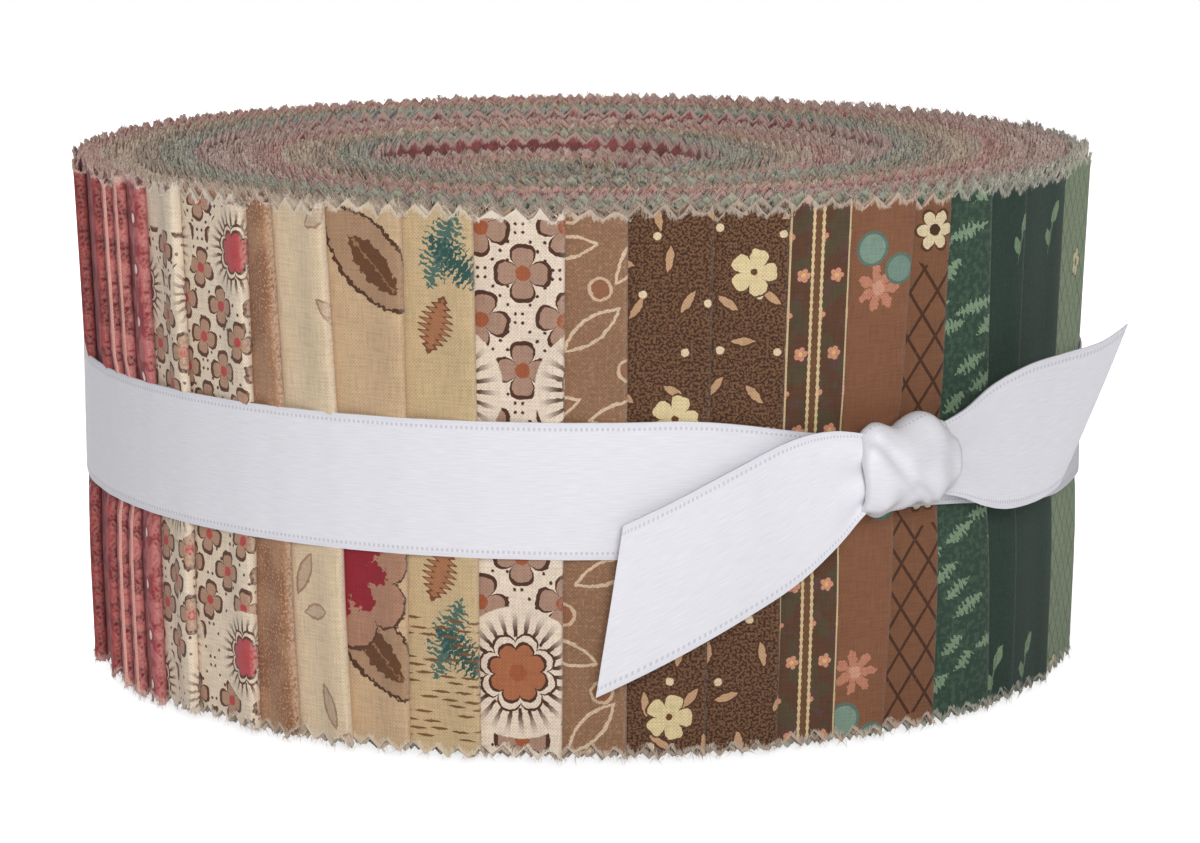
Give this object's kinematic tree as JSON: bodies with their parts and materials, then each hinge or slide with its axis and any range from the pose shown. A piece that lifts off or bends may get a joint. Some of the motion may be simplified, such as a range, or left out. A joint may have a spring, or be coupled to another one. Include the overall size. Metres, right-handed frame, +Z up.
{
  "type": "fabric strip roll",
  "caption": "Wound roll of folded printed cotton strips with pinked edges, held by a tied white satin ribbon with two free tails.",
  "frame": {"origin": "centre of the roll's base, on the surface that it stands on", "axes": "+Z up along the roll's axis; -Y is the side with the ribbon's knot and left tail, and +X is to the right of it"},
  "size_m": [0.1278, 0.1295, 0.0635],
  "materials": {
    "printed_cotton": "matt plain-weave cotton, printed",
    "white_satin": "smooth satin weave with woven edges"
  },
  "bodies": {
    "root": {"strip_roll": "printed_cotton", "ribbon_tie": "white_satin"}
  },
  "joints": []
}
